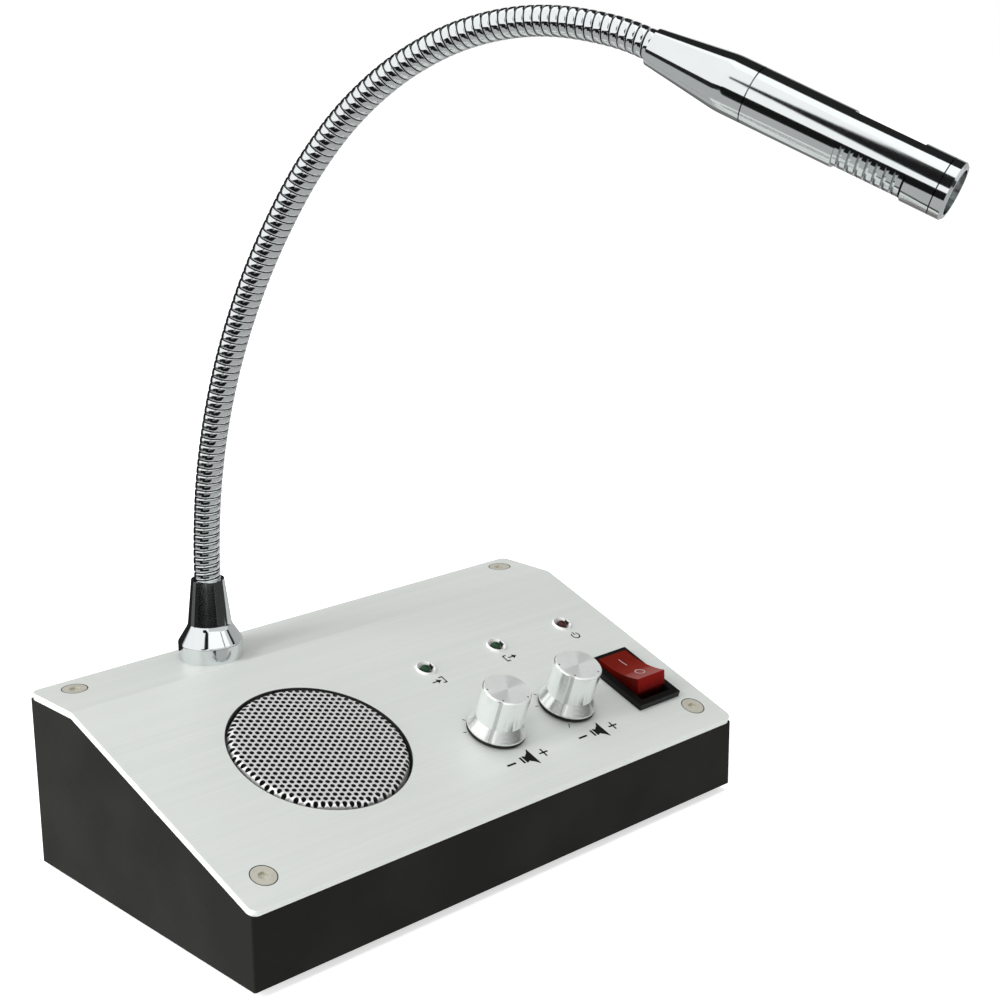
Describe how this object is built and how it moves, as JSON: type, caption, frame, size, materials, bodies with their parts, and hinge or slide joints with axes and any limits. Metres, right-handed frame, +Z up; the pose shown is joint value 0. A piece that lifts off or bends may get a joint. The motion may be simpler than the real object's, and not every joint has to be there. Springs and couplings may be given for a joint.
{
  "type": "teller window intercom",
  "caption": "Counter intercom console with a sloped aluminium panel, round loudspeaker grille, two volume knobs, lamps, rocker switch and gooseneck microphone.",
  "frame": {"origin": "centre of the case's underside footprint, at the underside of the moulding; the rubber feet reach 2 mm lower", "axes": "+X to the right of the person facing the controls, +Y to the back, +Z up; the sloped panel faces -Y and +Z"},
  "size_m": [0.15, 0.1731, 0.1959],
  "materials": {
    "case_plastic": "dark warm grey, satin moulding",
    "foot_rubber": "matte black",
    "panel_aluminium": "brushed along the width, clear anodised",
    "screw_steel": "nickel plated",
    "grille_metal": "satin, perforated",
    "gasket_rubber": "foam, matte",
    "stamped_steel": "zinc plated",
    "cone_paper": "black pressed paper",
    "ferrite": "matte dark grey",
    "chrome": "bright plated",
    "knob_aluminium": "turned, fine spun face",
    "knob_black": "black moulding",
    "switch_black": "black, slightly glossy",
    "rocker_red": "translucent red",
    "lamp_green": "unlit green lens",
    "lamp_red": "unlit red lens",
    "terminal_brass": "plain",
    "socket_plastic": "black moulding",
    "board_green": "solder mask",
    "heatsink_aluminium": "extruded"
  },
  "bodies": {
    "case": {"case_shell": "case_plastic", "rubber_feet": "foot_rubber", "front_panel": "panel_aluminium", "panel_screws": "screw_steel", "speaker_grille": "grille_metal", "speaker_gasket": "gasket_rubber", "speaker_basket": "stamped_steel", "speaker_cone": "cone_paper", "speaker_magnet": "ferrite", "speaker_yoke": "stamped_steel", "volume_pots": "stamped_steel", "volume_pot_nuts": "stamped_steel", "lamp_bezels": "chrome", "lamp_bezel_nuts": "stamped_steel", "lamp_leads": "stamped_steel", "lamp_in": "lamp_green", "lamp_out": "lamp_green", "lamp_power": "lamp_red", "switch_housing": "switch_black", "switch_terminals": "terminal_brass", "neck_socket": "chrome", "neck_washer": "stamped_steel", "neck_nut": "stamped_steel", "neck_root": "chrome", "dc_jack": "socket_plastic", "dc_jack_pin": "terminal_brass", "dc_jack_nut": "stamped_steel", "audio_jacks": "socket_plastic", "audio_jack_nuts": "stamped_steel", "amplifier_board": "board_green", "board_screws": "stamped_steel", "amplifier_heatsink": "heatsink_aluminium", "amplifier_chip": "socket_plastic", "board_capacitors": "switch_black", "board_headers": "socket_plastic"},
    "inside_volume": {"inside_volume_knob": "knob_aluminium", "inside_volume_insert": "knob_black", "inside_volume_shaft": "knob_aluminium"},
    "outside_volume": {"outside_volume_knob": "knob_aluminium", "outside_volume_insert": "knob_black", "outside_volume_shaft": "knob_aluminium"},
    "rocker": {"rocker_button": "rocker_red"},
    "neck_1": {"neck_link_1": "chrome"},
    "neck_2": {"neck_link_2": "chrome"},
    "neck_3": {"neck_link_3": "chrome"},
    "neck_4": {"neck_link_4": "chrome"},
    "neck_5": {"neck_link_5": "chrome"},
    "neck_6": {"neck_link_6": "chrome"},
    "neck_7": {"neck_link_7": "chrome"},
    "neck_8": {"neck_link_8": "chrome"},
    "neck_9": {"neck_link_9": "chrome"},
    "neck_10": {"neck_link_10": "chrome"},
    "neck_11": {"neck_link_11": "chrome"},
    "microphone": {"neck_tip": "chrome", "mic_ferrule": "chrome", "mic_tube": "chrome", "mic_vent_sleeve": "chrome", "mic_end_cap": "chrome", "mic_mesh": "stamped_steel", "mic_capsule": "heatsink_aluminium"}
  },
  "joints": [
    {"name": "inside_volume_turn", "type": "hinge", "parent": "case", "child": "inside_volume", "pos_m": [0.0124, -0.02092, 0.02614], "axis": [0, -0.3408, 0.9401], "range_deg": [-150, 150]},
    {"name": "outside_volume_turn", "type": "hinge", "parent": "case", "child": "outside_volume", "pos_m": [0.0364, -0.02092, 0.02614], "axis": [0, -0.3408, 0.9401], "range_deg": [-150, 150]},
    {"name": "power_rocker", "type": "hinge", "parent": "case", "child": "rocker", "pos_m": [0.0604, -0.0199, 0.02332], "axis": [1, 0, 0], "range_deg": [0, 24]},
    {"name": "neck_bend_1", "type": "hinge", "parent": "case", "child": "neck_1", "pos_m": [-0.03093, 0.03292, 0.06988], "axis": [0.9272, 0.3746, 0], "range_deg": [-8, 3.4]},
    {"name": "neck_sway_1", "type": "hinge", "parent": "neck_1", "child": "neck_2", "pos_m": [-0.03035, 0.03147, 0.08596], "axis": [0.3707, -0.9174, -0.1448], "range_deg": [-8, 8]},
    {"name": "neck_bend_2", "type": "hinge", "parent": "neck_2", "child": "neck_3", "pos_m": [-0.02918, 0.02858, 0.10182], "axis": [0.9272, 0.3746, 0], "range_deg": [-10.86, 4.73]},
    {"name": "neck_sway_2", "type": "hinge", "parent": "neck_3", "child": "neck_4", "pos_m": [-0.02745, 0.02429, 0.11731], "axis": [0.3533, -0.8744, -0.3326], "range_deg": [-8.2, 8.2]},
    {"name": "neck_bend_3", "type": "hinge", "parent": "neck_4", "child": "neck_5", "pos_m": [-0.02516, 0.01863, 0.13227], "axis": [0.9272, 0.3746, 0], "range_deg": [-10.86, 4.73]},
    {"name": "neck_sway_3", "type": "hinge", "parent": "neck_5", "child": "neck_6", "pos_m": [-0.02234, 0.01165, 0.14657], "axis": [0.3227, -0.7987, -0.5079], "range_deg": [-8.2, 8.2]},
    {"name": "neck_bend_4", "type": "hinge", "parent": "neck_6", "child": "neck_7", "pos_m": [-0.01902, 0.00343, 0.16008], "axis": [0.9272, 0.3746, 0], "range_deg": [-16.49, 7.12]},
    {"name": "neck_sway_4", "type": "hinge", "parent": "neck_7", "child": "neck_8", "pos_m": [-0.01499, -0.00654, 0.17211], "axis": [0.2532, -0.6267, -0.737], "range_deg": [-8.2, 8.2]},
    {"name": "neck_bend_5", "type": "hinge", "parent": "neck_8", "child": "neck_9", "pos_m": [-0.01015, -0.01852, 0.18179], "axis": [0.9272, 0.3746, 0], "range_deg": [-25.52, 10.96]},
    {"name": "neck_sway_5", "type": "hinge", "parent": "neck_9", "child": "neck_10", "pos_m": [-0.00462, -0.03221, 0.18825], "axis": [0.1044, -0.2583, -0.9604], "range_deg": [-8.2, 8.2]},
    {"name": "neck_bend_6", "type": "hinge", "parent": "neck_10", "child": "neck_11", "pos_m": [0.00135, -0.04699, 0.19069], "axis": [0.9272, 0.3746, 0], "range_deg": [-29.03, 12.45]},
    {"name": "neck_sway_6", "type": "hinge", "parent": "neck_11", "child": "microphone", "pos_m": [0.00734, -0.06181, 0.18872], "axis": [-0.0987, 0.2443, -0.9647], "range_deg": [-8.2, 8.2]}
  ],
  "couplings": [
    {"joint": "neck_bend_2", "follows": "neck_bend_1", "ratio": 1.333},
    {"joint": "neck_sway_2", "follows": "neck_sway_1", "ratio": 1},
    {"joint": "neck_bend_3", "follows": "neck_bend_1", "ratio": 1.333},
    {"joint": "neck_sway_3", "follows": "neck_sway_1", "ratio": 1},
    {"joint": "neck_bend_4", "follows": "neck_bend_1", "ratio": 2.036},
    {"joint": "neck_sway_4", "follows": "neck_sway_1", "ratio": 1},
    {"joint": "neck_bend_5", "follows": "neck_bend_1", "ratio": 3.165},
    {"joint": "neck_sway_5", "follows": "neck_sway_1", "ratio": 1},
    {"joint": "neck_bend_6", "follows": "neck_bend_1", "ratio": 3.604},
    {"joint": "neck_sway_6", "follows": "neck_sway_1", "ratio": 1}
  ]
}
